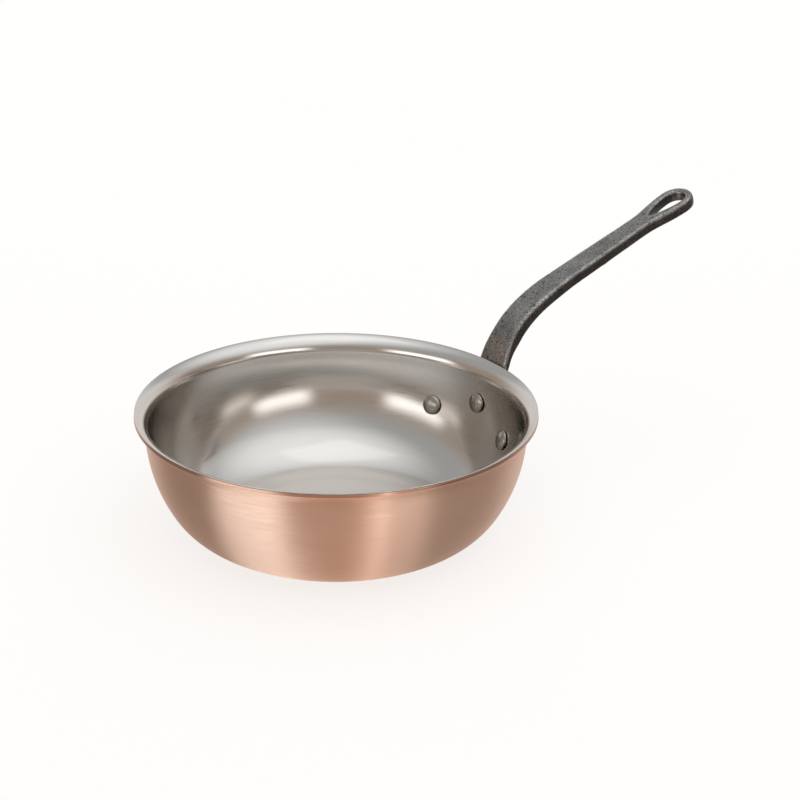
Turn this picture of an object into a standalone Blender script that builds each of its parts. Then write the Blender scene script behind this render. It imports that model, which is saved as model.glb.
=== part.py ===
"""A copper saucepan with a flared pouring lip, a stainless steel lining and a riveted cast-iron handle.

Metres, +Z up. The origin is the centre of the flat underside, and the handle runs out along +X.
"""

import bisect
import math

import bmesh
import bpy
from mathutils import Matrix, Vector
from mathutils.geometry import delaunay_2d_cdt, interpolate_bezier

# ---- Bowl ----
PAN_HEIGHT = 0.0815
BODY_RADIUS = 0.1187  # outer face of the wall, where it stands upright below the lip
SIDE_REACH = 0.0530  # from the edge of the flat base out to the wall
CORNER_RADIUS = 0.0462  # between the base and the wall
LIP_OVERHANG = 0.0063  # how far the lip stands out past the wall
FLARE_ANGLE = math.radians(75)  # of the lip at its edge, from upright
FLARE_BEND_RADIUS = 0.0085
COPPER_THICKNESS = 0.0018
LINING_THICKNESS = 0.0003
FIT_GAP = 0.0003  # between pieces that touch

# ---- Rivets ----
SHANK_RADIUS = 0.003
HEAD_RADIUS = 0.0064  # the factory head, inside the bowl
HEAD_HEIGHT = 0.0026
HEAD_RIM = 0.0006  # upright edge of either head, under its dome
CLENCH_RADIUS = 0.0056  # the hammered head, outside
CLENCH_HEIGHT = 0.0028
TOP_RIVET_DROP = 0.0275  # below the rim
LOBE_DROP = 0.0122  # side rivets below the top one, along the wall
LOBE_SPREAD = 0.0372  # side rivets from the handle's middle, round the wall

# ---- Handle ----
PLATE_THICKNESS = 0.0045
LOBE_RADIUS = 0.0105
PLATE_TOP_FILLET = 0.018  # between the strap and a side lobe
PLATE_LOW_FILLET = 0.040  # under the top rivet, between the side lobes
LEAVING_DROP = 0.0045  # below the neck, where the strap leaves the wall
LIP_CLEARANCE = 0.0019  # between the lip and the strap that rises past it
LIP_PASS_ANGLE = math.radians(75)
UNDER_LIP_PULLS = (0.35, 0.6)  # how far the curve under the lip runs straight at its two ends
SHOULDER_REACH = 0.0701
SHOULDER_RISE = 0.0510
SHOULDER_PULLS = (0.6, 0.5)  # shares of the rise and of the reach
GRIP_ANGLE = math.radians(18.2)
GRIP_LENGTH = 0.0945  # straight run from the shoulder to the middle of the eye
STRAP_ROOT_HALF = 0.0128
STRAP_NECK_HALF = 0.0097
STRAP_GRIP_HALF = 0.0086
STRAP_END_HALF = 0.0076
ROOT_WIDTH_ENDS = 0.005  # below the rim, along the strap
NECK_WIDTH_STARTS = 0.026  # past the rim, along the strap
NECK_WIDTH_ENDS = 0.055
STRAP_RIM_THICKNESS = 0.0048
SHOULDER_THICKNESS = 0.0082
SHOULDER_THICKEST = 0.022  # past the rim, along the strap
GRIP_THICKNESS = 0.0073
EYE_RADIUS = 0.0116
EYE_RIM = 0.0045
EYE_FLANK = 0.0343  # from where the strap starts to widen to the middle of the eye
EYE_FLANK_PULLS = (0.27, 0.45)
EYE_POINT = 0.0266  # from the point of the hole to the middle of the eye
EYE_POINT_ANGLE = math.radians(30)  # of the hole's side from the middle line, at its point
EYE_HOLE_PULLS = (0.3, 0.4)
EDGE_BEVEL = 0.0009
EDGE_BEVEL_ANGLE = math.radians(50)  # an edge sharper than this is taken off

# ---- Smoothness of the solids ----
BOWL_SEGMENTS = 60
RIVET_SEGMENTS = 20
DOME_STEPS = 4
CHORD_HEIGHT = 0.00015  # between a true arc and the straight steps along it
OUTLINE_STEP = 0.0042
HOLE_STEP = 0.003
FILL_STEP = 0.0065
FILL_CLEARANCE = 0.45  # share of a fill step kept clear of the outline
CURVE_POINTS = 60
SLOPE_REACH = 0.0004  # to either side of the place where a slope is taken
SMOOTH_ANGLE = math.radians(35)
TINY = 1e-6

# ---- Worked out from the sizes above ----
LIP_RADIUS = BODY_RADIUS + LIP_OVERHANG
BASE_RADIUS = BODY_RADIUS - SIDE_REACH
LINING_OUTSIDE = COPPER_THICKNESS + FIT_GAP
WALL_THICKNESS = LINING_OUTSIDE + LINING_THICKNESS


def flare_rise(depth):
    """Height of the lip's edge above the neck, on the surface that lies this deep in the wall."""
    bend = FLARE_BEND_RADIUS + depth
    run = LIP_OVERHANG - FLARE_BEND_RADIUS + bend * math.cos(FLARE_ANGLE)
    return bend * math.sin(FLARE_ANGLE) + run / math.tan(FLARE_ANGLE)


NECK_HEIGHT = PAN_HEIGHT - flare_rise(WALL_THICKNESS)
# The corner's arc and the wall's arc meet smoothly, and the wall ends upright at the neck.
CORNER_SHARE = (SIDE_REACH - CORNER_RADIUS) / (NECK_HEIGHT - CORNER_RADIUS)
CORNER_SWEEP = math.pi / 2 - 2 * math.atan(CORNER_SHARE)
WALL_RADIUS = CORNER_RADIUS + (NECK_HEIGHT - CORNER_RADIUS) / math.cos(CORNER_SWEEP)


# ---- Curves in a plane ----


def direction(angle):
    return Vector((math.cos(angle), math.sin(angle)))


def arc(centre, radius, start, end, steps):
    angles = [start + (end - start) * i / steps for i in range(steps + 1)]
    return [Vector(centre) + radius * direction(angle) for angle in angles]


def arc_steps(radius, sweep):
    """How many straight steps keep within the chord height of an arc."""
    return max(1, math.ceil(sweep / (2 * math.acos(1 - CHORD_HEIGHT / radius))))


def bezier(start, start_handle, end_handle, end):
    flat = [Vector((x, y, 0)) for x, y in (start, start_handle, end_handle, end)]
    return [point.to_2d() for point in interpolate_bezier(*flat, CURVE_POINTS)]


def run_lengths(points):
    lengths = [0.0]
    for before, after in zip(points, points[1:]):
        lengths.append(lengths[-1] + (after - before).length)
    return lengths


def point_along(points, lengths, distance):
    i = min(max(bisect.bisect_right(lengths, distance), 1), len(points) - 1)
    share = (distance - lengths[i - 1]) / (lengths[i] - lengths[i - 1])
    return points[i - 1].lerp(points[i], share)


def smooth_stations(stations, distance):
    """A value that eases from one (distance, value) station to the next."""
    for (start, first), (end, last) in zip(stations, stations[1:]):
        if distance <= end:
            share = min(max((distance - start) / (end - start), 0), 1)
            return first + (last - first) * share * share * (3 - 2 * share)
    return stations[-1][1]


# ---- Bowl profile ----


def wall_face(depth):
    """(radius, height) from the axis to the lip, on the surface this deep in from the copper's outside."""
    meeting = CORNER_SWEEP - math.pi / 2
    steps = arc_steps(CORNER_RADIUS, CORNER_SWEEP)
    corner = arc((BASE_RADIUS, CORNER_RADIUS), CORNER_RADIUS - depth, -math.pi / 2, meeting, steps)
    steps = arc_steps(WALL_RADIUS, -meeting)
    wall = arc((BODY_RADIUS - WALL_RADIUS, NECK_HEIGHT), WALL_RADIUS - depth, meeting, 0, steps)
    bend_centre = (BODY_RADIUS + FLARE_BEND_RADIUS, NECK_HEIGHT)
    steps = arc_steps(FLARE_BEND_RADIUS, FLARE_ANGLE)
    bend = arc(bend_centre, FLARE_BEND_RADIUS + depth, math.pi, math.pi - FLARE_ANGLE, steps)
    lip = Vector((LIP_RADIUS, NECK_HEIGHT + flare_rise(depth)))
    return [Vector((0, depth))] + corner + wall[1:] + bend[1:] + [lip]


def turned(name, profile, segments):
    """A closed profile of (radius, height) points, both ends on the axis, turned about Z."""
    bm = bmesh.new()
    verts = [bm.verts.new((radius, 0, height)) for radius, height in profile]
    edges = [bm.edges.new(pair) for pair in zip(verts, verts[1:])]
    bmesh.ops.spin(
        bm,
        geom=verts + edges,
        cent=(0, 0, 0),
        axis=(0, 0, 1),
        angle=2 * math.pi,
        steps=segments,
        use_merge=True,
    )
    bmesh.ops.remove_doubles(bm, verts=bm.verts, dist=TINY)
    bmesh.ops.recalc_face_normals(bm, faces=bm.faces)
    return finished(name, bm)


def finished(name, bm):
    mesh = bpy.data.meshes.new(name)
    bm.to_mesh(mesh)
    bm.free()
    mesh.shade_smooth()
    mesh.set_sharp_from_angle(angle=SMOOTH_ANGLE)
    obj = bpy.data.objects.new(name, mesh)
    bpy.context.scene.collection.objects.link(obj)
    return obj


def bowl_layer(name, outside, inside):
    return turned(name, wall_face(outside) + wall_face(inside)[::-1], BOWL_SEGMENTS)


# ---- Handle: its face, from the foot of the plate to the tip, seen from the side ----


def wall_run():
    """The handle's side of the wall up to where the strap leaves it."""
    centre = Vector((BODY_RADIUS - WALL_RADIUS, NECK_HEIGHT))
    radius = WALL_RADIUS + FIT_GAP
    low = CORNER_SWEEP - math.pi / 2
    top = -math.asin(LEAVING_DROP / radius)
    corner_top = centre.y + radius * math.sin(low) - TINY
    corner = [point for point in wall_face(-FIT_GAP)[1:] if point.y < corner_top]
    return corner + arc(centre, radius, low, top, CURVE_POINTS)


def face_points():
    """Points of the face, the length run at each, and the lengths where the strap's stretches start."""
    run = wall_run()
    leave = run[-1]
    rim = Vector((LIP_RADIUS + LIP_CLEARANCE, PAN_HEIGHT))
    passing = direction(LIP_PASS_ANGLE)
    first_pull, last_pull = (share * (PAN_HEIGHT - leave.y) for share in UNDER_LIP_PULLS)
    upright = Vector((0, first_pull))
    under_lip = bezier(leave, leave + upright, rim - passing * last_pull, rim)

    shoulder_end = rim + Vector((SHOULDER_REACH, SHOULDER_RISE))
    gripping = direction(GRIP_ANGLE)
    first_pull = SHOULDER_PULLS[0] * SHOULDER_RISE
    last_pull = SHOULDER_PULLS[1] * SHOULDER_REACH
    bend_handles = (rim + passing * first_pull, shoulder_end - gripping * last_pull)
    shoulder = bezier(rim, *bend_handles, shoulder_end)
    tip = shoulder_end + gripping * (GRIP_LENGTH + 2 * EYE_RADIUS)
    points = run + under_lip[1:] + shoulder[1:] + [tip]
    lengths = run_lengths(points)
    marks = (len(run) - 1, len(run) + CURVE_POINTS - 2, len(points) - 2)
    return points, lengths, [lengths[i] for i in marks]


FACE, FACE_LENGTHS, (AT_LEAVING, AT_RIM, AT_GRIP) = face_points()


def length_at_height(height):
    """Distance along the wall's run to this height."""
    for i, point in enumerate(FACE):
        if point.y >= height:
            before = FACE[i - 1]
            share = (height - before.y) / (point.y - before.y)
            return FACE_LENGTHS[i - 1] + share * (FACE_LENGTHS[i] - FACE_LENGTHS[i - 1])
    return FACE_LENGTHS[-1]


AT_TOP_RIVET = length_at_height(PAN_HEIGHT - TOP_RIVET_DROP)
AT_SIDE_RIVETS = AT_TOP_RIVET - LOBE_DROP
AT_EYE = AT_GRIP + GRIP_LENGTH
WRAP_RADIUS = point_along(FACE, FACE_LENGTHS, AT_SIDE_RIVETS).x

THICKNESS = (
    (AT_LEAVING, PLATE_THICKNESS),
    (AT_RIM, STRAP_RIM_THICKNESS),
    (AT_RIM + SHOULDER_THICKEST, SHOULDER_THICKNESS),
    (AT_RIM + NECK_WIDTH_ENDS, GRIP_THICKNESS),
)
HALF_WIDTH = (
    (AT_RIM - ROOT_WIDTH_ENDS, STRAP_ROOT_HALF),
    (AT_RIM + NECK_WIDTH_STARTS, STRAP_NECK_HALF),
    (AT_RIM + NECK_WIDTH_ENDS, STRAP_NECK_HALF),
    (AT_GRIP, STRAP_GRIP_HALF),
    (AT_EYE - EYE_FLANK, STRAP_END_HALF),
)
WRAP = ((AT_LEAVING, 1.0), (AT_RIM, 0.0))


def face_frame(along):
    """(point, outward direction) of the handle's face at a distance along it."""
    point = point_along(FACE, FACE_LENGTHS, along)
    before = point_along(FACE, FACE_LENGTHS, along - SLOPE_REACH)
    after = point_along(FACE, FACE_LENGTHS, along + SLOPE_REACH)
    tangent = (after - before).normalized()
    return point, Vector((tangent.y, -tangent.x))


def handle_place(along, across, depth):
    """Where a point of the flat handle pattern goes. The plate wraps round the wall, the strap stays flat."""
    point, outward = face_frame(along)
    radius, height = point + outward * depth
    angle = across / WRAP_RADIUS
    wrapped = Vector((radius * math.cos(angle), radius * math.sin(angle), height))
    return Vector((radius, across, height)).lerp(wrapped, smooth_stations(WRAP, along))


# ---- Handle: its flat pattern, as (along, across) ----


def resampled(points, step):
    lengths = run_lengths(points)
    count = max(1, round(lengths[-1] / step))
    return [point_along(points, lengths, lengths[-1] * i / count) for i in range(count)]


def plate_side():
    """Right edge of the three-lobed plate, from its low middle to the strap."""
    lobe = Vector((AT_SIDE_RIVETS, LOBE_SPREAD))
    reach = PLATE_LOW_FILLET + LOBE_RADIUS
    low_centre = Vector((AT_SIDE_RIVETS - math.sqrt(reach * reach - LOBE_SPREAD * LOBE_SPREAD), 0))
    low_angle = math.atan2(LOBE_SPREAD, lobe.x - low_centre.x)
    low = arc(low_centre, PLATE_LOW_FILLET, 0, low_angle, CURVE_POINTS)
    side = LOBE_SPREAD - STRAP_ROOT_HALF - PLATE_TOP_FILLET
    reach = PLATE_TOP_FILLET + LOBE_RADIUS
    top_centre = lobe + Vector((math.sqrt(reach * reach - side * side), -side))
    to_lobe = math.atan2(lobe.y - top_centre.y, lobe.x - top_centre.x) % (2 * math.pi)
    round_lobe = arc(lobe, LOBE_RADIUS, low_angle + math.pi, to_lobe - math.pi, CURVE_POINTS)
    top = arc(top_centre, PLATE_TOP_FILLET, to_lobe, 1.5 * math.pi, CURVE_POINTS)
    return low, round_lobe, top


def strap_side(start):
    """Right edge of the strap from the plate to where the eye starts."""
    end = AT_EYE - EYE_FLANK
    stops = [start + (end - start) * i / CURVE_POINTS for i in range(CURVE_POINTS + 1)]
    return [Vector((stop, smooth_stations(HALF_WIDTH, stop))) for stop in stops]


def eye_side():
    centre = Vector((AT_EYE, 0))
    start = Vector((AT_EYE - EYE_FLANK, STRAP_END_HALF))
    widest = centre + Vector((0, EYE_RADIUS))
    first_pull, last_pull = (Vector((share * EYE_FLANK, 0)) for share in EYE_FLANK_PULLS)
    flank = bezier(start, start + first_pull, widest - last_pull, widest)
    return flank, arc(centre, EYE_RADIUS, math.pi / 2, 0, CURVE_POINTS)


def mirrored_loop(side):
    """A closed loop from its right half, which starts and ends on the middle line."""
    left = [Vector((point.x, -point.y)) for point in side[-2:0:-1]]
    return side + left


def outline():
    low, round_lobe, top = plate_side()
    flank, tip = eye_side()
    side = []
    for stretch in (low, round_lobe, top, strap_side(top[-1].x), flank, tip):
        side += resampled(stretch, OUTLINE_STEP)
    return mirrored_loop(side + [tip[-1]])


def eye_hole():
    centre = Vector((AT_EYE, 0))
    radius = EYE_RADIUS - EYE_RIM
    point = centre - Vector((EYE_POINT, 0))
    widest = centre + Vector((0, radius))
    first_pull = direction(EYE_POINT_ANGLE) * EYE_HOLE_PULLS[0] * EYE_POINT
    last_pull = Vector((EYE_HOLE_PULLS[1] * EYE_POINT, 0))
    flank = bezier(point, point + first_pull, widest - last_pull, widest)
    tip = arc(centre, radius, math.pi / 2, 0, CURVE_POINTS)
    side = resampled(flank, HOLE_STEP) + resampled(tip, HOLE_STEP)
    return mirrored_loop(side + [tip[-1]])


def inside(loop, point):
    """Whether a loop goes round a point, by counting the edges crossed."""
    crossings = 0
    for a, b in zip(loop, loop[1:] + loop[:1]):
        if (a.y > point.y) != (b.y > point.y):
            crossings += point.x < a.x + (point.y - a.y) * (b.x - a.x) / (b.y - a.y)
    return crossings % 2 == 1


def fill_points(edge, hole):
    """Inner points, so that the flat pattern can bend both ways."""
    start = min(point.x for point in edge)
    end = max(point.x for point in edge)
    columns = math.ceil((end - start) / FILL_STEP)
    rows = math.ceil(max(point.y for point in edge) / FILL_STEP)
    points = []
    for column in range(1, columns):
        for row in range(-rows, rows + 1):
            point = Vector((start + column * FILL_STEP, row * FILL_STEP))
            clearance = min((point - other).length for other in edge + hole)
            if clearance < FILL_CLEARANCE * FILL_STEP:
                continue
            if inside(edge, point) and not inside(hole, point):
                points.append(point)
    return points


def handle_body():
    """The flat pattern is filled with triangles, given its thickness and bent to shape."""
    edge = outline()
    hole = eye_hole()
    points = edge + hole + fill_points(edge, hole)
    borders = []
    for loop in (range(len(edge)), range(len(edge), len(edge) + len(hole))):
        borders += [(i, i + 1) for i in loop[:-1]] + [(loop[-1], loop[0])]
    _, _, triangles, originals, _, _ = delaunay_2d_cdt(points, borders, [], 1, TINY)
    bm = bmesh.new()
    near = [bm.verts.new(handle_place(x, y, 0)) for x, y in points]
    far = [bm.verts.new(handle_place(x, y, smooth_stations(THICKNESS, x))) for x, y in points]
    for triangle in triangles:
        corners = [originals[i][0] for i in triangle]
        middle = sum((points[i] for i in corners), Vector((0, 0))) / len(corners)
        if not inside(hole, middle):
            bm.faces.new([near[i] for i in corners])
            bm.faces.new([far[i] for i in reversed(corners)])
    for a, b in borders:
        bm.faces.new((near[a], near[b], far[b], far[a]))
    bmesh.ops.recalc_face_normals(bm, faces=bm.faces)
    return finished("handle", bm)


# ---- Rivets ----


def dome(radius, height, seat, way):
    """A head from the axis to its seat: a round dome over a short upright rim, facing way (+1 or -1)."""
    rise = height - HEAD_RIM
    ball = (radius * radius + rise * rise) / (2 * rise)
    sweep = math.asin(radius / ball)
    low = seat + way * HEAD_RIM
    centre = low + way * (rise - ball)
    angles = [sweep * i / DOME_STEPS for i in range(DOME_STEPS + 1)]
    cap = [Vector((ball * math.sin(angle), centre + way * ball * math.cos(angle))) for angle in angles]
    return cap + [Vector((radius, seat))]


def rivet_matrix(along, across):
    """The rivet's own frame: on the handle's side of the wall, with +Z straight out of it."""
    point, outward = face_frame(along)
    angle = across / WRAP_RADIUS
    around = Vector((math.cos(angle), math.sin(angle)))
    place = Vector((around.x * point.x, around.y * point.x, point.y))
    axis = Vector((around.x * outward.x, around.y * outward.x, outward.y))
    return Matrix.Translation(place) @ axis.to_track_quat("Z", "Y").to_matrix().to_4x4()


def rivet(name, matrix):
    """Head inside the bowl, shank through lining, copper and plate, hammered head outside."""
    # A flat seat on the hollow side of the wall touches it at the edge of the head first.
    hollow = min(WALL_RADIUS, BODY_RADIUS) - WALL_THICKNESS
    sag = HEAD_RADIUS * HEAD_RADIUS / (2 * hollow)
    seat = FIT_GAP + WALL_THICKNESS + FIT_GAP + sag
    head = dome(HEAD_RADIUS, HEAD_HEIGHT, -seat, -1)
    clench = dome(CLENCH_RADIUS, CLENCH_HEIGHT, PLATE_THICKNESS + FIT_GAP, 1)
    shank = [Vector((SHANK_RADIUS, head[-1].y)), Vector((SHANK_RADIUS, clench[-1].y))]
    obj = turned(name, head + shank + clench[::-1], RIVET_SEGMENTS)
    obj.matrix_world = matrix
    return obj


def hole_cutter(name, matrix):
    """A drill as wide as the shank and its clearance, long enough to pass through every layer."""
    reach = WALL_THICKNESS + PLATE_THICKNESS + 2 * FIT_GAP
    radius = SHANK_RADIUS + FIT_GAP
    profile = ((0, -reach), (radius, -reach), (radius, reach), (0, reach))
    obj = turned(name, profile, RIVET_SEGMENTS)
    obj.matrix_world = matrix
    obj.hide_render = True
    obj.display_type = "WIRE"
    return obj


def drilled(obj, cutters):
    for cutter in cutters:
        cut = obj.modifiers.new(cutter.name, "BOOLEAN")
        cut.operation = "DIFFERENCE"
        cut.solver = "EXACT"
        cut.object = cutter


def softened(obj):
    """Takes the sharp edges off, as on a casting."""
    bevel = obj.modifiers.new("cast_edges", "BEVEL")
    bevel.width = EDGE_BEVEL
    bevel.segments = 1
    bevel.limit_method = "ANGLE"
    bevel.angle_limit = EDGE_BEVEL_ANGLE


def painted(obj, name, colour, metallic, roughness):
    material = bpy.data.materials.new(name)
    material.use_nodes = True
    shader = material.node_tree.nodes["Principled BSDF"]
    shader.inputs["Base Color"].default_value = (*colour, 1)
    shader.inputs["Metallic"].default_value = metallic
    shader.inputs["Roughness"].default_value = roughness
    obj.data.materials.append(material)


def main():
    for obj in list(bpy.data.objects):
        bpy.data.objects.remove(obj, do_unlink=True)

    places = {
        "rivet_top": rivet_matrix(AT_TOP_RIVET, 0),
        "rivet_left": rivet_matrix(AT_SIDE_RIVETS, LOBE_SPREAD),
        "rivet_right": rivet_matrix(AT_SIDE_RIVETS, -LOBE_SPREAD),
    }
    cutters = [hole_cutter(name + "_drill", matrix) for name, matrix in places.items()]

    shell = bowl_layer("copper_shell", 0, COPPER_THICKNESS)
    painted(shell, "brushed_copper", (0.80, 0.46, 0.32), 1, 0.32)
    lining = bowl_layer("stainless_lining", LINING_OUTSIDE, WALL_THICKNESS)
    painted(lining, "stainless_steel", (0.66, 0.64, 0.61), 1, 0.25)
    handle = handle_body()
    painted(handle, "cast_iron", (0.07, 0.068, 0.066), 0.6, 0.55)
    softened(handle)
    rivets = [rivet(name, matrix) for name, matrix in places.items()]
    for obj in rivets:
        painted(obj, obj.name + "_steel", (0.55, 0.53, 0.50), 1, 0.35)
    for obj in (lining, shell, handle):
        drilled(obj, cutters)

    pan = bpy.data.objects.new("saucepan", None)
    bpy.context.scene.collection.objects.link(pan)
    for obj in (shell, lining, handle, *rivets, *cutters):
        obj.parent = pan


main()
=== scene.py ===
# %% [markdown]
# # A copper saucepan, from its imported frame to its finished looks
#
# The pan is one spun sheet of copper bonded to a thin stainless steel lining, a sand-cast iron
# handle, and three stainless rivets that hold the two together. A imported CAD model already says
# where each piece sits. This lesson keeps those places and rebuilds every piece finely, then gives
# each one the finish it leaves the workshop with.

# %% Load the frame
import math

import bmesh
import bpy
from mathutils import Matrix, Vector


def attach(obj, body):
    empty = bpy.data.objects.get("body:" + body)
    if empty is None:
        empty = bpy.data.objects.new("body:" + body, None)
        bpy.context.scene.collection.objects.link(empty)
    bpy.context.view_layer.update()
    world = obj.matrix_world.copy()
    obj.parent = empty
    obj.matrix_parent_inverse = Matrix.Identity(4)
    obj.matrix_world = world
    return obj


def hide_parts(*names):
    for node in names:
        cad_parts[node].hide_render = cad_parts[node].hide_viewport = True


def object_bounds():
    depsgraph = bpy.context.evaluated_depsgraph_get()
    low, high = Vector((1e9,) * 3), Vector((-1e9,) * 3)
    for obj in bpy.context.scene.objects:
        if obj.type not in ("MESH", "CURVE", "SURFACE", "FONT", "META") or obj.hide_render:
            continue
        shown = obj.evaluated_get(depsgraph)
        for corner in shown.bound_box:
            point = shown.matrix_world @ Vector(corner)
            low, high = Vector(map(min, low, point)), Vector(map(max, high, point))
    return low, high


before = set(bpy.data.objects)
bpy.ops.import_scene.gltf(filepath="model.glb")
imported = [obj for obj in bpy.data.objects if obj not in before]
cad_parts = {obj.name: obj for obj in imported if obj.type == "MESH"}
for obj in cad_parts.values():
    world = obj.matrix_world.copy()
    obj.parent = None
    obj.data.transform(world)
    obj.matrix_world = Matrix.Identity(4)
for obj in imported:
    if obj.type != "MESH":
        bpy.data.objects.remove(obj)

cad_low, cad_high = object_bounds()
print("CAD box, mm:", [round(1000 * side, 1) for side in cad_high - cad_low])

# %% [markdown]
# ## The sizes of the bowl
#
# A spun pan is fully described by the line that the spinner's tool follows: a flat base, a
# generous corner, a wall that comes upright, and a lip that flares out so that the pan pours
# without dripping. The bowl could be pushed into shape from a cylinder, but then each change means
# pushing again. Sizes that are written once, in metres, stay exact, and both metals follow them.

# %% Sizes of the spun sheet
PAN_HEIGHT = 0.0815
BODY_RADIUS = 0.1187
SIDE_REACH = 0.0530
CORNER_RADIUS = 0.0462
LIP_OVERHANG = 0.0063
FLARE_ANGLE = math.radians(75)
FLARE_BEND_RADIUS = 0.0085
COPPER_THICKNESS = 0.0018
LINING_THICKNESS = 0.0003
FIT_GAP = 0.0003

LIP_RADIUS = BODY_RADIUS + LIP_OVERHANG
BASE_RADIUS = BODY_RADIUS - SIDE_REACH
LINING_OUTSIDE = COPPER_THICKNESS + FIT_GAP
WALL_THICKNESS = LINING_OUTSIDE + LINING_THICKNESS


def flare_rise(depth):
    """Height of the lip's edge above the neck, on the surface this deep in the wall."""
    bend = FLARE_BEND_RADIUS + depth
    run = LIP_OVERHANG - FLARE_BEND_RADIUS + bend * math.cos(FLARE_ANGLE)
    return bend * math.sin(FLARE_ANGLE) + run / math.tan(FLARE_ANGLE)


NECK_HEIGHT = PAN_HEIGHT - flare_rise(WALL_THICKNESS)
CORNER_SHARE = (SIDE_REACH - CORNER_RADIUS) / (NECK_HEIGHT - CORNER_RADIUS)
CORNER_SWEEP = math.pi / 2 - 2 * math.atan(CORNER_SHARE)
WALL_RADIUS = CORNER_RADIUS + (NECK_HEIGHT - CORNER_RADIUS) / math.cos(CORNER_SWEEP)
WALL_CENTRE = Vector((BODY_RADIUS - WALL_RADIUS, NECK_HEIGHT))
print("neck height, mm:", round(1000 * NECK_HEIGHT, 2))
print("radius of the wall's arc, mm:", round(1000 * WALL_RADIUS, 1))

# %% [markdown]
# ## The spinner's line
#
# Both faces of both metals are the same line at different depths, so one function draws it. It is
# made of true arcs with a small step, because polished metal shows every facet that a coarse line
# leaves: a reflection bends at each one.

# %% The line at any depth
ARC_STEP = math.radians(2)
BASE_STEPS = 12


def arc(centre, radius, start, end, step=ARC_STEP):
    """Points of an arc, without its first one."""
    steps = max(1, math.ceil(abs(end - start) / step))
    angles = [start + (end - start) * i / steps for i in range(1, steps + 1)]
    return [Vector(centre) + radius * Vector((math.cos(a), math.sin(a))) for a in angles]


def spun_line(depth):
    """(radius, height) points from the axis to the lip."""
    meeting = CORNER_SWEEP - math.pi / 2
    line = [Vector((BASE_RADIUS * i / BASE_STEPS, depth)) for i in range(BASE_STEPS + 1)]
    line += arc((BASE_RADIUS, CORNER_RADIUS), CORNER_RADIUS - depth, -math.pi / 2, meeting)
    line += arc(WALL_CENTRE, WALL_RADIUS - depth, meeting, 0)
    bend_centre = (BODY_RADIUS + FLARE_BEND_RADIUS, NECK_HEIGHT)
    bend = FLARE_BEND_RADIUS + depth
    line += arc(bend_centre, bend, math.pi, math.pi - FLARE_ANGLE, 2 * ARC_STEP)
    return line + [Vector((LIP_RADIUS, NECK_HEIGHT + flare_rise(depth)))]


print("points on the spinner's line:", len(spun_line(0)))

# %% [markdown]
# ## Easing a cut corner
#
# After spinning, the lip is cut true on the lathe, which leaves two sharp corners. A real edge is
# broken with a file so that it doesn't cut a hand. A bevel modifier would round the holes of the
# rivets too. A short quadratic curve in place of each corner touches only the rim, and it is what
# catches the thin bright line that outlines a real one.

# %% Eased corners
EASE_STEPS = 4


def eased(line, index, reach):
    """The line with the corner at this index swapped for a small curve."""
    corner = line[index]
    start = corner + (line[index - 1] - corner).normalized() * reach
    end = corner + (line[index + 1] - corner).normalized() * reach
    curve = []
    for i in range(EASE_STEPS + 1):
        t = i / EASE_STEPS
        curve.append(start * (1 - t) ** 2 + corner * 2 * t * (1 - t) + end * t * t)
    return line[:index] + curve + line[index + 1 :]


def sheet_section(outside, inside, outer_ease, inner_ease):
    """Closed section of one metal: out along one face, over the cut edge and back."""
    out = spun_line(outside)
    back = spun_line(inside)[::-1]
    line = eased(out + back, len(out), inner_ease)
    return eased(line, len(out) - 1, outer_ease)


# %% [markdown]
# ## Turning a section into metal
#
# The lathe does in one move what the Spin operator does here: it carries the section once round
# the axis. 256 steps keep the rim's outline round at any distance a pan is looked at from.

# %% Turning
BOWL_STEPS = 256
MERGE = 1e-6
SHARP = math.radians(40)


def finished(name, bm):
    """A smooth-shaded object made from this bmesh, with its sharp edges kept."""
    bmesh.ops.recalc_face_normals(bm, faces=bm.faces)
    mesh = bpy.data.meshes.new(name)
    bm.to_mesh(mesh)
    bm.free()
    mesh.shade_smooth()
    mesh.set_sharp_from_angle(angle=SHARP)
    obj = bpy.data.objects.new(name, mesh)
    bpy.context.scene.collection.objects.link(obj)
    return obj


def turned(name, section, steps):
    """A section of (radius, height) points with both ends on the axis, carried round Z."""
    bm = bmesh.new()
    verts = [bm.verts.new((radius, 0, height)) for radius, height in section]
    edges = [bm.edges.new(pair) for pair in zip(verts, verts[1:])]
    bmesh.ops.spin(
        bm,
        geom=verts + edges,
        cent=(0, 0, 0),
        axis=(0, 0, 1),
        angle=2 * math.pi,
        steps=steps,
        use_merge=True,
    )
    bmesh.ops.remove_doubles(bm, verts=bm.verts, dist=MERGE)
    return finished(name, bm)


# %% [markdown]
# ## The two metals of the bowl
#
# The copper and the steel are separate sheets, so each gets its own closed section. The copper's
# cut corners are eased by two or three tenths of a millimetre. The lining is only as thick as
# that, so its corners are barely touched.

# %% The two metals of the bowl
COPPER_EASE = (0.0002, 0.0003)  # outer corner, inner corner
LINING_EASE = (0.00008, 0.00012)

copper_section = sheet_section(0, COPPER_THICKNESS, *COPPER_EASE)
lining_section = sheet_section(LINING_OUTSIDE, WALL_THICKNESS, *LINING_EASE)
shell = turned("copper_bowl", copper_section, BOWL_STEPS)
lining = turned("steel_lining", lining_section, BOWL_STEPS)
print("faces: shell", len(shell.data.polygons), "lining", len(lining.data.polygons))

# %% [markdown]
# ## Where the rivets sit
#
# Three rivets pass straight through the wall, square to it. The top one is in the handle's plane
# and the other two are lower, one on each side. A place on the wall and the direction square to it
# both come from the wall's arc, so the rivets follow the wall if the bowl is reshaped.

# %% Rivet places
TOP_RIVET_DROP = 0.0275
LOBE_DROP = 0.0122
LOBE_SPREAD = 0.0372
SEAT_RADIUS = WALL_RADIUS + FIT_GAP

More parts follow.
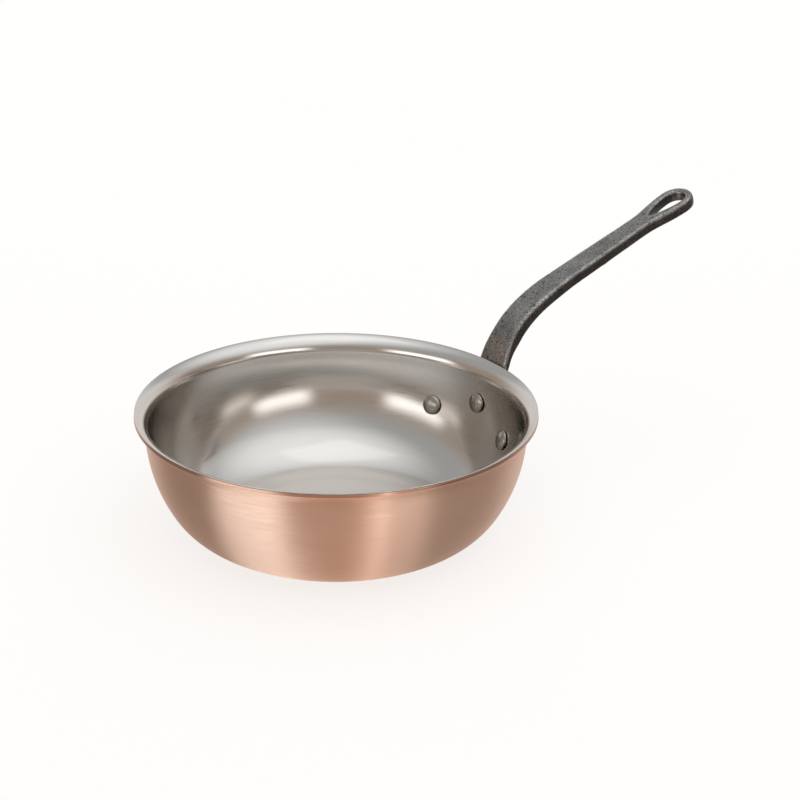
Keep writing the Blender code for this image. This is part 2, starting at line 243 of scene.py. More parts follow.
top_lean = math.asin((PAN_HEIGHT - TOP_RIVET_DROP - NECK_HEIGHT) / SEAT_RADIUS)
low_lean = top_lean - LOBE_DROP / SEAT_RADIUS
low_reach = WALL_CENTRE.x + SEAT_RADIUS * math.cos(low_lean)
side_turn = LOBE_SPREAD / low_reach


def wall_matrix(lean, turn):
    """A frame on the wall's outer face, its Z pointing straight out of the wall."""
    outward = Vector((math.cos(lean), math.sin(lean)))
    spot = WALL_CENTRE + outward * SEAT_RADIUS
    around = Vector((math.cos(turn), math.sin(turn)))
    place = Vector((around.x * spot.x, around.y * spot.x, spot.y))
    axis = Vector((around.x * outward.x, around.y * outward.x, outward.y))
    return Matrix.Translation(place) @ axis.to_track_quat("Z", "Y").to_matrix().to_4x4()


rivet_places = {
    "rivet_top": wall_matrix(top_lean, 0),
    "rivet_left": wall_matrix(low_lean, side_turn),
    "rivet_right": wall_matrix(low_lean, -side_turn),
}
for name, place in rivet_places.items():
    print(name, [round(1000 * value, 1) for value in place.translation])

# %% [markdown]
# ## Rivets
#
# A pan rivet is a soft steel pin with a factory-made round head. The head goes inside the bowl,
# and the tail is hammered over outside until it has a flatter head of its own. A squashed sphere
# on a cylinder would do from afar. Turning one section keeps each rivet a single piece, and lets
# the rim of its head roll under, which leaves the dark line all round a real head.

# %% Turning the rivets
SHANK_RADIUS = 0.003
HEAD_RADIUS = 0.0064
HEAD_HEIGHT = 0.0026
HEAD_ROLL = 0.0007
ROLL_TUCK = 0.3  # of the roll, where its curve turns under
CLENCH_RADIUS = 0.0056
CLENCH_HEIGHT = 0.0028
PLATE_THICKNESS = 0.0045
SHOULDER_POWER = 0.92  # under 1, the dome is fuller at its shoulder than a true ellipse
CROWN_POWER = 1.15  # over 1, it is lower there
RIVET_STEPS = 48
DOME_STEPS = 14


def head_section(radius, height, seat, way):
    """A head from its crown to its seat. The rim rolls under at the seat."""
    section = []
    for i in range(DOME_STEPS + 1):
        t = i / DOME_STEPS * math.pi / 2
        spread = math.sin(t) ** SHOULDER_POWER
        crown = math.cos(t) ** CROWN_POWER
        rise = HEAD_ROLL + (height - HEAD_ROLL) * crown
        section.append(Vector((radius * spread, seat + way * rise)))
    section[0].x = 0
    tuck = ROLL_TUCK * HEAD_ROLL
    section.append(Vector((radius - tuck, seat + way * tuck)))
    section.append(Vector((radius - HEAD_ROLL, seat)))
    return section


def rivet(name, place):
    hollow = WALL_RADIUS - WALL_THICKNESS
    sag = HEAD_RADIUS * HEAD_RADIUS / (2 * hollow)
    head_seat = -(2 * FIT_GAP + WALL_THICKNESS + sag)
    head = head_section(HEAD_RADIUS, HEAD_HEIGHT, head_seat, -1)
    clench = head_section(CLENCH_RADIUS, CLENCH_HEIGHT, PLATE_THICKNESS + FIT_GAP, 1)
    shank = [Vector((SHANK_RADIUS, head[-1].y)), Vector((SHANK_RADIUS, clench[-1].y))]
    obj = turned(name, head + shank + clench[::-1], RIVET_STEPS)
    obj.matrix_world = place
    return obj


rivets = {name: rivet(name + "_steel", place) for name, place in rivet_places.items()}
print("faces on a rivet:", len(rivets["rivet_top"].data.polygons))

# %% [markdown]
# ## Drilling the wall
#
# The holes are hidden under the heads, but the shanks do pass through both metals. Cutting each
# hole by hand into a turned mesh would spoil its even rows. One mesh that holds all three drills is
# subtracted from each metal with a Boolean modifier, which leaves the rest as it was.

# %% Drills
HOLE_RADIUS = SHANK_RADIUS + FIT_GAP
DRILL_LENGTH = 4 * WALL_THICKNESS


def drills():
    bm = bmesh.new()
    for place in rivet_places.values():
        bmesh.ops.create_cone(
            bm,
            cap_ends=True,
            segments=RIVET_STEPS,
            radius1=HOLE_RADIUS,
            radius2=HOLE_RADIUS,
            depth=DRILL_LENGTH,
            matrix=place,
        )
    obj = finished("rivet_drills", bm)
    obj.hide_render = True
    obj.hide_viewport = True
    return obj


cutter = drills()
for metal in (shell, lining):
    hole = metal.modifiers.new("rivet_holes", "BOOLEAN")
    hole.operation = "DIFFERENCE"
    hole.solver = "EXACT"
    hole.object = cutter
print("holes of", round(2000 * HOLE_RADIUS, 1), "mm for shanks of", round(2000 * SHANK_RADIUS, 1))

# %% [markdown]
# ## The handle casting
#
# The handle is cast in sand, and a sand mould has no sharp corners: iron shrinks and the sand
# crumbles, so every edge comes out softly rounded, and then it is ground by hand. The CAD model
# has the right outline with flat cuts for edges. A bevel would have to find its way round the eye
# and the three lobes. Instead a copy is subdivided so that its outline flows, remeshed into even
# half-millimetre cells, and smoothed, which rounds each edge by about a millimetre, as the grinder
# does. Both steps thin the bar a little, so beyond the lip its skin is moved out again by as much.
# Near the wall it isn't, because the root plate is close to the copper.

# %% Casting the handle
SEAM_MERGE = 10 * MERGE
FLOW_LEVELS = 2
CAST_CELL = 0.00055
CAST_SMOOTHING = 8
CAST_SOFTNESS = 0.5
CAST_SWELL = 0.0006
SWELL_STARTS = 0.128  # distance from the bowl's axis, just beyond the lip
SWELL_FULL = 0.140


def settled(obj):
    """The object's mesh, once its modifiers are turned into plain faces."""
    graph = bpy.context.evaluated_depsgraph_get()
    mesh = bpy.data.meshes.new_from_object(obj.evaluated_get(graph))
    obj.modifiers.clear()
    obj.data = mesh
    return mesh


def cast_copy(name, node):
    bm = bmesh.new()
    bm.from_mesh(node.data)
    bmesh.ops.remove_doubles(bm, verts=bm.verts, dist=SEAM_MERGE)
    obj = finished(name, bm)
    flow = obj.modifiers.new("flowing_outline", "SUBSURF")
    flow.levels = flow.render_levels = FLOW_LEVELS
    cells = obj.modifiers.new("even_cells", "REMESH")
    cells.mode = "VOXEL"
    cells.voxel_size = CAST_CELL
    cells.use_smooth_shade = True
    soften = obj.modifiers.new("ground_edges", "SMOOTH")
    soften.factor = CAST_SOFTNESS
    soften.iterations = CAST_SMOOTHING
    mesh = settled(obj)
    normals = [entry.vector.copy() for entry in mesh.vertex_normals]
    for vert, normal in zip(mesh.vertices, normals):
        share = (vert.co.x - SWELL_STARTS) / (SWELL_FULL - SWELL_STARTS)
        vert.co += normal * CAST_SWELL * min(max(share, 0), 1)
    mesh.shade_smooth()
    return obj


handle = cast_copy("iron_handle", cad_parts["handle"])
print("handle casting made from", len(handle.data.polygons), "faces")

# %% [markdown]
# ## Colours and nodes
#
# Colours are written as sRGB hex values, as on a paint card, and turned to linear light once.
# One small function adds a node, sets it and links it, which keeps each finish short to read.

# %% Helpers for finishes


def linear(hex_colour):
    """#RRGGBB as linear (r, g, b, 1)."""
    values = [int(hex_colour[i : i + 2], 16) / 255 for i in (1, 3, 5)]
    return (*[v / 12.92 if v <= 0.04045 else ((v + 0.055) / 1.055) ** 2.4 for v in values], 1)


def add(tree, kind, settings=None, links=None, **values):
    """A node of this kind, with its settings, its socket values, and links into its sockets."""
    node = tree.nodes.new("ShaderNode" + kind)
    for name, value in (settings or {}).items():
        setattr(node, name, value)
    for name, value in values.items():
        node.inputs[name.replace("_", " ")].default_value = value
    for name, source in (links or {}).items():
        tree.links.new(source, node.inputs[name])
    return node


def finish(name, **surface):
    """A new material whose surface has these uniform values."""
    material = bpy.data.materials.new(name)
    material.use_nodes = True
    shader = material.node_tree.nodes["Principled BSDF"]
    for socket, value in surface.items():
        shader.inputs[socket.replace("_", " ")].default_value = value
    return material, material.node_tree, shader


def connect(tree, shader, **sources):
    """Lets each of these sources drive the shader's socket of the same name."""
    for socket, source in sources.items():
        tree.links.new(source, shader.inputs[socket.replace("_", " ")])


COLOUR_MIX = {"data_type": "RGBA"}
print("mid grey is", round(linear("#808080")[0], 3), "in linear light")

# %% [markdown]
# ## Lines that run round the pan
#
# Both metals are finished while they turn: an abrasive pad leaves fine lines that run round the
# pan. They could be painted on an unwrapped mesh, but an unwrapped bowl has a seam. Here a point is
# described by the direction round the axis and by how far along the spinner's line it is. Radius
# plus height grows all the way from the middle of the base to the lip, so it serves as that
# distance. The direction is a point on a circle, which has no seam.

# %% Turned coordinates


def turned_place(tree, round_scale, along_scale, shift=0.0):
    """Object coordinates as (direction round the axis, distance along the section)."""
    place = add(tree, "TexCoord").outputs["Object"]
    flat = add(tree, "VectorMath", {"operation": "MULTIPLY"}, {0: place})
    flat.inputs[1].default_value = (1, 1, 0)
    around = add(tree, "VectorMath", {"operation": "NORMALIZE"}, {0: flat.outputs[0]})
    scaled = {0: around.outputs[0]}
    circle = add(tree, "VectorMath", {"operation": "SCALE"}, scaled, Scale=round_scale)
    reach = add(tree, "VectorMath", {"operation": "LENGTH"}, {0: flat.outputs[0]})
    height = add(tree, "SeparateXYZ", links={0: place})
    both = {0: reach.outputs["Value"], 1: height.outputs["Z"]}
    run = add(tree, "Math", {"operation": "ADD"}, both)
    fine = add(tree, "Math", {"operation": "MULTIPLY_ADD"}, {0: run.outputs[0]})
    fine.inputs[1].default_value = along_scale
    fine.inputs[2].default_value = shift
    lift = add(tree, "CombineXYZ", links={"Z": fine.outputs[0]})
    parts = {0: circle.outputs[0], 1: lift.outputs[0]}
    return add(tree, "VectorMath", {"operation": "ADD"}, parts).outputs[0]


# %% [markdown]
# ## Brushed copper
#
# The outside is copper, spun and then brushed with an abrasive pad. Copper reflects red far better
# than blue, which is all its colour is: it has no paint and no clear layer. The pad's lines are
# about 0.3 mm apart, too fine to show, so they are drawn about 1 mm apart, and each slower pass of
# the pad leaves a faint ripple about 2 mm wide. The lines spread each highlight up and down the
# wall and not round it. Real grooves that fine would need millions of faces, so the shader is
# anisotropic instead, with its tangent running round the axis.

# %% Copper finish
BRUSH_SPACING = 0.0011
PASS_SPACING = 0.0022
PATCH_SIZE = 0.02
BRUSH_ROUND, PASS_ROUND, PATCH_ROUND = 5.0, 2.5, 3.0  # changes in one radian round the pan
PASS_SHIFT = 7.0  # keeps the passes from following the lines


def brushed_copper():
    material, tree, shader = finish(
        "brushed_copper",
        Metallic=1.0,
        Anisotropic=1.0,
        Anisotropic_Rotation=0.25,
    )
    brushing = {"Vector": turned_place(tree, BRUSH_ROUND, 1 / BRUSH_SPACING)}
    lines = add(tree, "TexNoise", {}, brushing, Scale=1.0, Detail=3.0, Roughness=0.6)
    tarnish = {"Vector": turned_place(tree, PATCH_ROUND, 1 / PATCH_SIZE)}
    patches = add(tree, "TexNoise", {}, tarnish, Scale=1.0, Detail=2.0)
    tone = add(
        tree,
        "Mix",
        COLOUR_MIX,
        {"Factor": patches.outputs["Fac"]},
        A=linear("#F3CFBA"),
        B=linear("#FAD9C5"),
    )
    rough = add(
        tree,
        "MapRange",
        {},
        {"Value": lines.outputs["Fac"]},
        From_Min=0.3,
        From_Max=0.7,
        To_Min=0.36,
        To_Max=0.48,
    )
    strokes = {"Vector": turned_place(tree, PASS_ROUND, 1 / PASS_SPACING, PASS_SHIFT)}
    passes = add(tree, "TexNoise", {}, strokes, Scale=1.0, Detail=3.0)
    ripple = {"Height": passes.outputs["Fac"]}
    waves = add(tree, "Bump", {}, ripple, Strength=0.3, Distance=0.0008)
    scratches = {"Height": lines.outputs["Fac"], "Normal": waves.outputs["Normal"]}
    grooves = add(tree, "Bump", {}, scratches, Strength=0.25, Distance=0.0003)
    grain = add(tree, "Tangent", {"direction_type": "RADIAL", "axis": "Z"})
    connect(
        tree,
        shader,
        Base_Color=tone.outputs["Result"],
        Roughness=rough.outputs["Result"],
        Normal=grooves.outputs["Normal"],
        Tangent=grain.outputs["Tangent"],
    )
    return material


copper = brushed_copper()
print("brushed copper uses", len(copper.node_tree.nodes), "nodes")

# %% [markdown]
# ## The lathe-cut edge
#
# The rim's edge is cut with a lathe tool after spinning, so it is glossier than the brushed wall
# and keeps a few tiny dark pits where the tool has torn the soft metal. The pits are less than half
# a millimetre across, so they are spots of a cell pattern and not holes in the mesh.

# %% Cut edge finish
PIT_SPACING = 0.006
TOOL_MARK_SPACING = 0.002
TOOL_ROUND = 9.0


def cut_copper():
    material, tree, shader = finish("lathe_cut_copper", Metallic=1.0)
    place = add(tree, "TexCoord").outputs["Object"]
    pits = add(tree, "TexVoronoi", {}, {"Vector": place}, Scale=1 / PIT_SPACING)
    dots = add(
        tree,
        "MapRange",
        {},
        {"Value": pits.outputs["Distance"]},
        From_Min=0.03,
        From_Max=0.07,
    )
    tone = add(
        tree,
        "Mix",
        COLOUR_MIX,
        {"Factor": dots.outputs["Result"]},
        A=linear("#5E4038"),
        B=linear("#CBA897"),
    )
    marks = {"Vector": turned_place(tree, TOOL_ROUND, 1 / TOOL_MARK_SPACING)}
    wear = add(tree, "TexNoise", {}, marks, Scale=1.0, Detail=2.0)
    worn = {"Value": wear.outputs["Fac"]}
    rough = add(tree, "MapRange", {}, worn, To_Min=0.12, To_Max=0.26)
    connect(tree, shader, Base_Color=tone.outputs["Result"], Roughness=rough.outputs["Result"])
    return material


cut_edge = cut_copper()
print("cut copper uses", len(cut_edge.node_tree.nodes), "nodes")

# %% [markdown]
# ## Polished stainless lining
#
# The lining is 18/10 stainless, polished on the lathe with a soft mop until it mirrors the room
# softly. Steel is a little warm, and each bounce from wall to wall makes it warmer and darker,
# which the path tracer does by itself: painting the dark wall would be wrong from any other side.
# The mop's lines are far finer than a millimetre and are drawn 1.4 mm apart, very shallow.

# %% Lining finish
POLISH_SPACING = 0.0014
POLISH_ROUND = 7.0
POLISH_SHIFT = 3.0


def polished_steel():
    material, tree, shader = finish("polished_stainless_steel", Metallic=1.0)
    mopping = {"Vector": turned_place(tree, POLISH_ROUND, 1 / POLISH_SPACING, POLISH_SHIFT)}
    lines = add(tree, "TexNoise", {}, mopping, Scale=1.0, Detail=3.0)
    tone = add(
        tree,
        "Mix",
        COLOUR_MIX,
        {"Factor": lines.outputs["Fac"]},
        A=linear("#C9C6C1"),
        B=linear("#D0CCC7"),
    )
    rough = add(
        tree,
        "MapRange",
        {},
        {"Value": lines.outputs["Fac"]},
        From_Min=0.3,
        From_Max=0.7,
        To_Min=0.13,
        To_Max=0.18,
    )
    relief = {"Height": lines.outputs["Fac"]}
    grooves = add(tree, "Bump", {}, relief, Strength=0.015, Distance=0.0002)
    connect(
        tree,
        shader,
        Base_Color=tone.outputs["Result"],
        Roughness=rough.outputs["Result"],
        Normal=grooves.outputs["Normal"],
    )
    return material


steel = polished_steel()
print("polished steel uses", len(steel.node_tree.nodes), "nodes")

# %% [markdown]
# ## Rivet steel
#
# The rivet heads are stainless as the press leaves them: a duller, darker steel than the lining,
# with a soft highlight that shallow dents from the hammer and the setting tool break up. The dents
# are about as wide as the hammer's mark, 2.5 mm, and so shallow that a bump is enough.

# %% Rivet finish
DENT_SIZE = 0.0025


def rivet_steel():
    material, tree, shader = finish("pressed_stainless_steel", Metallic=1.0)
    place = add(tree, "TexCoord").outputs["Object"]
    dents = add(tree, "TexNoise", {}, {"Vector": place}, Scale=1 / DENT_SIZE, Detail=3.0)
    tone = add(
        tree,
        "Mix",
        COLOUR_MIX,
        {"Factor": dents.outputs["Fac"]},
        A=linear("#8F8A82"),
        B=linear("#B4AEA5"),
    )
    worn = {"Value": dents.outputs["Fac"]}
    rough = add(tree, "MapRange", {}, worn, To_Min=0.18, To_Max=0.30)
    relief = {"Height": dents.outputs["Fac"]}
    skin = add(tree, "Bump", {}, relief, Strength=0.22, Distance=0.0004)
    connect(
        tree,
        shader,
        Base_Color=tone.outputs["Result"],
        Roughness=rough.outputs["Result"],
        Normal=skin.outputs["Normal"],
    )
    return material


rivet_metal = rivet_steel()
print("rivet steel uses", len(rivet_metal.node_tree.nodes), "nodes")

# %% [markdown]
# ## Cast iron
#
# Bare cast iron is a dark grey metal with a skin as grainy as the sand it was poured in. The
# hollows of the grain hold dark oxide, and the high places and edges are worn to brighter metal.
# The grain of moulding sand is about 0.3 mm, drawn here near 0.8 mm so that it shows. The faces
# that look up and back are painted lighter, and the flanks and the underside are painted darker:
# this is painted light and shade, standing in for the light that falls from above. The surface's
# own direction tells them apart, so no mask has to be painted.

# %% Iron finish
SAND_GRAIN = 0.0008
SAND_PIT = 0.0022
OXIDE_CLOUD = 0.012
# Painted light and shade: faces turned this way are painted lighter, the rest darker.
PAINTED_LIGHT_FACING = (-0.6, 0.0, 0.8)  # up, and back towards the bowl
OXIDE = (0.36, "#555452")  # height in the grain, colour
BARE_IRON = (0.66, "#ACAAA8")


def iron_colour(tree, here, grain):
    """The grain's colour, darker in pits and oxide clouds, with painted light on faces turned up
    and back and painted shade on the rest.
    """
    place = here.outputs["Object"]
    skin = add(tree, "ValToRGB", {}, {"Fac": grain.outputs["Fac"]})
    for stop, (height, colour) in zip(skin.color_ramp.elements, (OXIDE, BARE_IRON)):
        stop.position = height
        stop.color = linear(colour)
    pits = add(tree, "TexNoise", {}, {"Vector": place}, Scale=1 / SAND_PIT, Detail=2.0)
    depth = {"Value": pits.outputs["Fac"]}
    spots = add(tree, "MapRange", {}, depth, From_Min=0.30, From_Max=0.42, To_Min=0.45)
    darken = {"data_type": "RGBA", "blend_type": "MULTIPLY"}
    spotted = add(tree, "Mix", darken, {"A": skin.outputs["Color"]}, Factor=1.0)
    tree.links.new(spots.outputs["Result"], spotted.inputs["B"])
    clouds = add(tree, "TexNoise", {}, {"Vector": place}, Scale=1 / OXIDE_CLOUD, Detail=3.0)
    tone = add(
        tree,
        "MapRange",
        {},
        {"Value": clouds.outputs["Fac"]},
        From_Min=0.3,
        From_Max=0.7,
        To_Min=0.75,
        To_Max=1.15,
    )
    # Painted light and shade: the colour is lighter on faces turned up and back, darker on the
    # flanks and underside.
    facing = add(tree, "VectorMath", {"operation": "DOT_PRODUCT"}, {0: here.outputs["Normal"]})
    facing.inputs[1].default_value = PAINTED_LIGHT_FACING
    painted_light_and_shade = add(
        tree,
        "MapRange",
        {},
        {"Value": facing.outputs["Value"]},
        From_Min=0.20,
        From_Max=0.75,
        To_Min=0.46,
        To_Max=1.14,
    )
    factors = {0: tone.outputs["Result"], 1: painted_light_and_shade.outputs["Result"]}
    shade = add(tree, "Math", {"operation": "MULTIPLY"}, factors)
    shaded = {0: spotted.outputs["Result"], "Scale": shade.outputs[0]}
    return add(tree, "VectorMath", {"operation": "SCALE"}, shaded).outputs[0]


def cast_iron():
    material, tree, shader = finish("sand_cast_iron", Metallic=1.0)
    here = add(tree, "TexCoord")
    grain = add(
        tree,
        "TexNoise",
        {},
        {"Vector": here.outputs["Object"]},
        Scale=1 / SAND_GRAIN,
        Detail=4.0,
        Roughness=0.65,
    )
    edge = {"Value": add(tree, "NewGeometry").outputs["Pointiness"]}
    worn = add(tree, "MapRange", {}, edge, From_Min=0.53, From_Max=0.60, To_Max=0.7)
    colours = {"Factor": worn.outputs["Result"], "A": iron_colour(tree, here, grain)}
    bright = add(tree, "Mix", COLOUR_MIX, colours, B=linear("#D2D0CB"))
    height = {"Value": grain.outputs["Fac"]}
    rough = add(tree, "MapRange", {}, height, To_Min=0.40, To_Max=0.26)
    relief = {"Height": grain.outputs["Fac"]}
    bump = add(tree, "Bump", {}, relief, Strength=0.25, Distance=0.0004)
    connect(
        tree,
        shader,
        Base_Color=bright.outputs["Result"],
        Roughness=rough.outputs["Result"],
        Normal=bump.outputs["Normal"],
    )
    return material


iron = cast_iron()
print("cast iron uses", len(iron.node_tree.nodes), "nodes")

# %% [markdown]
# ## Dressing the pieces
#
# Each piece takes its finish, rides on the frame's one body, and stands for the CAD node that it
# replaces. The faces of the cut edge get the lathe-cut finish. They could be picked by hand, but
# picking the faces at the lip's full radius still works when the bowl is reshaped.

# %% Finishes, bodies and nodes
EDGE_BAND = 0.00016


def dress(obj, material, node):
    obj.data.materials.append(material)
    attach(obj, "root")
    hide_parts(node)


dress(shell, copper, "copper_shell")
dress(lining, steel, "stainless_lining")
dress(handle, iron, "handle")
for name, obj in rivets.items():
    dress(obj, rivet_metal, name)

shell.data.materials.append(cut_edge)
edge_faces = 0
for face in shell.data.polygons:
    if math.hypot(face.center.x, face.center.y) > LIP_RADIUS - EDGE_BAND:
        face.material_index = 1
        edge_faces += 1
print("faces on the cut edge:", edge_faces)

# %% [markdown]
# ## Floor
#
# The pan stands on a pale matt table that runs out of view, so nothing competes with the metal.
# A real studio overexposes such a table to white. Here a little glow that only the camera sees
# does that, so it adds no light to the pan. The polished metal doesn't mirror this mesh: the room
# below draws a darker, softer table for it.

# %% Pale floor
FLOOR_HALF = 6.0
FLOOR_CELLS = 24
FLOOR_GLOW = 0.75
FLOOR_DROP = 0.0002  # keeps the table top and the pan's flat underside apart
CLOUDS_PER_METRE = 2.0


def pale_floor():
    bm = bmesh.new()
    bmesh.ops.create_grid(bm, x_segments=FLOOR_CELLS, y_segments=FLOOR_CELLS, size=FLOOR_HALF)
    obj = finished("pale_floor", bm)
    obj.location.z = cad_low.z - FLOOR_DROP
    material, tree, shader = finish(
        "matt_grey_laminate",
        Roughness=0.9,
        Emission_Color=linear("#FFFFFF"),
    )
    place = add(tree, "TexCoord").outputs["Object"]
    cloud = add(tree, "TexNoise", {}, {"Vector": place}, Scale=CLOUDS_PER_METRE)
    tone = add(
        tree,
        "Mix",
        COLOUR_MIX,
        {"Factor": cloud.outputs["Fac"]},
        A=linear("#8A8782"),
        B=linear("#8E8B86"),
    )
    seen = add(tree, "LightPath").outputs["Is Camera Ray"]
    glow = add(tree, "Math", {"operation": "MULTIPLY"}, {0: seen})
    glow.inputs[1].default_value = FLOOR_GLOW
    connect(
        tree,
        shader,
        Base_Color=tone.outputs["Result"],
        Emission_Strength=glow.outputs[0],
    )
    obj.data.materials.append(material)
    obj.visible_glossy = False
    obj.visible_shadow = False


pale_floor()
print("table top is", 2 * FLOOR_HALF, "m wide")

# %% [markdown]
# ## Camera
#
# The camera looks down at the pan from a little over twenty degrees, with the handle pointing
# away to the right. A long lens keeps the rim's ellipse calm. It is placed by an aim point, a
# direction and a distance, so that its view is easy to read and to change.

# %% Camera
VIEW_TURN = math.radians(-38.5)
VIEW_RISE = math.radians(23.28)
VIEW_ROLL = 0.0105
VIEW_DISTANCE = 1.4
AIM = Vector((0.03072, -0.02443, PAN_HEIGHT + 0.0052))
LENS = 101.73  # mm, on a sensor 36 mm wide
SENSOR = 36


def view_axes(turn, rise, roll):
    """The camera's right, up and backward directions."""
    level = math.cos(rise)
    back = Vector((math.sin(turn) * level, -math.cos(turn) * level, math.sin(rise)))
    side = Vector((math.cos(turn), math.sin(turn), 0))
    right = math.cos(roll) * side + math.sin(roll) * back.cross(side)
    return right, back.cross(right), back


right, up, back = view_axes(VIEW_TURN, VIEW_RISE, VIEW_ROLL)
lens = bpy.data.cameras.new("long_lens")
lens.sensor_width = SENSOR
lens.lens = LENS
camera = bpy.data.objects.new("camera", lens)
axes = Matrix((right, up, back)).transposed().to_4x4()
camera.matrix_world = Matrix.Translation(AIM + VIEW_DISTANCE * back) @ axes
bpy.context.scene.collection.objects.link(camera)
bpy.context.scene.camera = camera
print("camera at", [round(value, 3) for value in camera.matrix_world.translation])

# %% [markdown]
# ## Light
#
# Polished metal shows the room more than it shows itself, so the room is drawn as a product
# studio: a white ceiling that is brightest overhead, a dimmer room that turns warm towards the
# horizon, a white wall behind the pan, and a softbox on each side in front of it. Area lamps could
# stand for the softboxes, but their hard edges show in metal. This room is a world shader that
# depends only on direction, so each light can have the soft edge that a real softbox has. Below the
# horizon the same lights show again, weaker, as a satin table would mirror them. That is what draws
# the tall bright bands on brushed copper, which spreads each light up and down.

# %% Studio lights
ROOM_LOW = linear("#B5A496")
ROOM_HIGH = linear("#BCBDBE")
ROOM_CHANGE = (0.25, 0.6)  # sines of the heights between which the room loses its warmth
CEILING = (1.25, 1.27, 1.30, 1)
CEILING_MIDDLE = (60, 75)  # turn and rise of its brightest place
CEILING_REACH = (0.5, 1.0)  # cosines of the angles from there at which it starts and is full
TABLE = (0.28, 0.23, 0.20, 1)
HORIZON_SOFTNESS = 0.06
TOP_SOFTNESS = 0.18
BACKDROP = linear("#FCFBF9")

# Each light: turn, half of its full width, half of its faded width, the sine of its top edge,
# its colour above the horizon, and its colour mirrored in the table.
STUDIO_LIGHTS = {
    "left_softbox": (-52, 13, 27, 0.40, (1.75, 1.78, 1.82), (1.05, 1.14, 1.18)),
    "right_softbox": (38, 11, 24, 0.40, (1.65, 1.66, 1.68), (0.36, 0.28, 0.24)),
    "strip_between": (29, 1, 3.5, 0.02, (0, 0, 0), (1.20, 1.25, 1.30)),
    "warm_front": (-5, 22, 45, 0.02, (0, 0, 0), (0.24, 0.12, 0.06)),
    "white_wall": (175, 26, 76, 0.60, (0.46, 0.50, 0.54), (0.36, 0.38, 0.40)),
}
print("studio lights:", ", ".join(STUDIO_LIGHTS))

# %% [markdown]
# ## One light of the room
#
# A light is bright where the direction is close to its own, measured round the pan, and below its
# top edge. Both limits are soft steps. Multiplied, they make a window with blurred edges, and the
# window's colour changes at the horizon from the light to its mirror image.

# %% One studio light
SOFT_STEP = {"interpolation_type": "SMOOTHSTEP"}


def studio_way(turn, rise):
    """A direction from the pan. turn is from the camera's side, positive to the right."""
    angle = VIEW_TURN + math.radians(turn)
    climb = math.radians(rise)
    level = math.cos(climb)
    return Vector((math.sin(angle) * level, -math.cos(angle) * level, math.sin(climb)))


def studio_light(tree, around, height, above, light):
    """The colour that one light adds in each direction."""
    turn, full, faded, top, bright, mirrored = light
    facing = add(tree, "VectorMath", {"operation": "DOT_PRODUCT"}, {0: around})
    facing.inputs[1].default_value = studio_way(turn, 0)
    wide = add(
        tree,
        "MapRange",
        SOFT_STEP,
        {"Value": facing.outputs["Value"]},
        From_Min=math.cos(math.radians(faded)),
        From_Max=math.cos(math.radians(full)),
    )
    tall = add(
        tree,
        "MapRange",
        SOFT_STEP,
        {"Value": height},
        From_Min=top - TOP_SOFTNESS,
        From_Max=top,
        To_Min=1.0,
        To_Max=0.0,
    )
    limits = {0: wide.outputs["Result"], 1: tall.outputs["Result"]}
    window = add(tree, "Math", {"operation": "MULTIPLY"}, limits)
    tint = add(tree, "Mix", COLOUR_MIX, {"Factor": above}, A=(*mirrored, 1), B=(*bright, 1))
    tinted = {0: tint.outputs["Result"], "Scale": window.outputs[0]}
    return add(tree, "VectorMath", {"operation": "SCALE"}, tinted).outputs[0]


print("the camera looks along", [round(value, 2) for value in -studio_way(0, 23)])

# %% [markdown]
# ## The whole room
#
# The room is built from the back: warm low walls into grey high walls, the ceiling over them, the
# table below the horizon, and then the lights on top. The camera alone sees a plain pale backdrop.

# %% Studio room


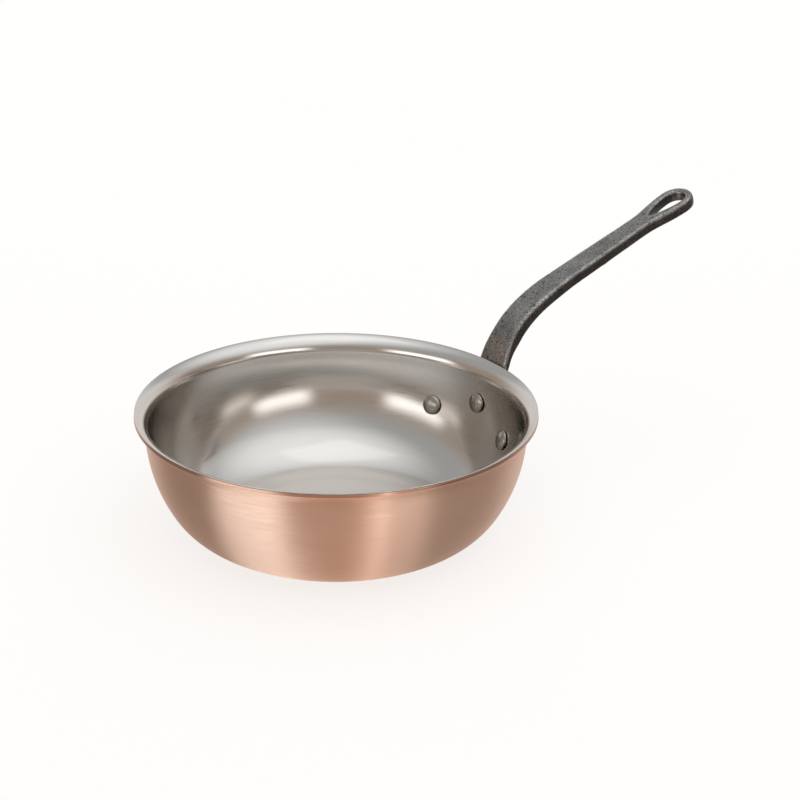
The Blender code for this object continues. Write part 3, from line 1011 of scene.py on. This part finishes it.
def studio_room():
    world = bpy.data.worlds.new("studio_room")
    world.use_nodes = True
    tree = world.node_tree
    way = add(tree, "TexCoord").outputs["Generated"]
    height = add(tree, "SeparateXYZ", links={0: way}).outputs["Z"]
    flat = add(tree, "VectorMath", {"operation": "MULTIPLY"}, {0: way})
    flat.inputs[1].default_value = (1, 1, 0)
    around = add(tree, "VectorMath", {"operation": "NORMALIZE"}, {0: flat.outputs[0]}).outputs[0]
    horizon = add(
        tree,
        "MapRange",
        SOFT_STEP,
        {"Value": height},
        From_Min=-HORIZON_SOFTNESS,
        From_Max=HORIZON_SOFTNESS,
    )
    above = horizon.outputs["Result"]

    low, high = ROOM_CHANGE
    rising = add(tree, "MapRange", SOFT_STEP, {"Value": height}, From_Min=low, From_Max=high)
    climb = {"Factor": rising.outputs["Result"]}
    walls = add(tree, "Mix", COLOUR_MIX, climb, A=ROOM_LOW, B=ROOM_HIGH)
    near = add(tree, "VectorMath", {"operation": "DOT_PRODUCT"}, {0: way})
    near.inputs[1].default_value = studio_way(*CEILING_MIDDLE)
    start, full = CEILING_REACH
    closeness = {"Value": near.outputs["Value"]}
    overhead = add(tree, "MapRange", SOFT_STEP, closeness, From_Min=start, From_Max=full)
    layers = {"Factor": overhead.outputs["Result"], "A": walls.outputs["Result"]}
    room = add(tree, "Mix", COLOUR_MIX, layers, B=CEILING)
    halves = {"Factor": above, "B": room.outputs["Result"]}
    total = add(tree, "Mix", COLOUR_MIX, halves, A=TABLE).outputs["Result"]
    for light in STUDIO_LIGHTS.values():
        sum_so_far = {0: total, 1: studio_light(tree, around, height, above, light)}
        total = add(tree, "VectorMath", {"operation": "ADD"}, sum_so_far).outputs[0]

    seen = add(tree, "LightPath").outputs["Is Camera Ray"]
    shown = add(tree, "Mix", COLOUR_MIX, {"Factor": seen, "A": total}, B=BACKDROP)
    tree.links.new(shown.outputs["Result"], tree.nodes["Background"].inputs["Color"])
    bpy.context.scene.world = world
    return world


room = studio_room()
print("the room uses", len(room.node_tree.nodes), "nodes")

# %% [markdown]
# ## Overhead lamp
#
# One weak, wide lamp over the pan gives the matt table its soft contact shadow and touches the
# rivets. The room above does all the rest, because a stronger lamp would burn a white patch into
# the polished base. The plain Standard view keeps the colours as they are written.

# %% Overhead lamp
LAMP_SIZE = 1.2
LAMP_HEIGHT = 1.9
LAMP_POWER = 0.8


def overhead_lamp():
    lamp = bpy.data.lights.new("overhead_lamp", "AREA")
    lamp.size = LAMP_SIZE
    lamp.energy = LAMP_POWER
    obj = bpy.data.objects.new("overhead_lamp", lamp)
    obj.location = (0, 0, LAMP_HEIGHT)
    obj.visible_camera = False
    bpy.context.scene.collection.objects.link(obj)


overhead_lamp()
bpy.context.scene.view_settings.view_transform = "Standard"
print("lamp", LAMP_SIZE, "m wide,", LAMP_HEIGHT, "m up")
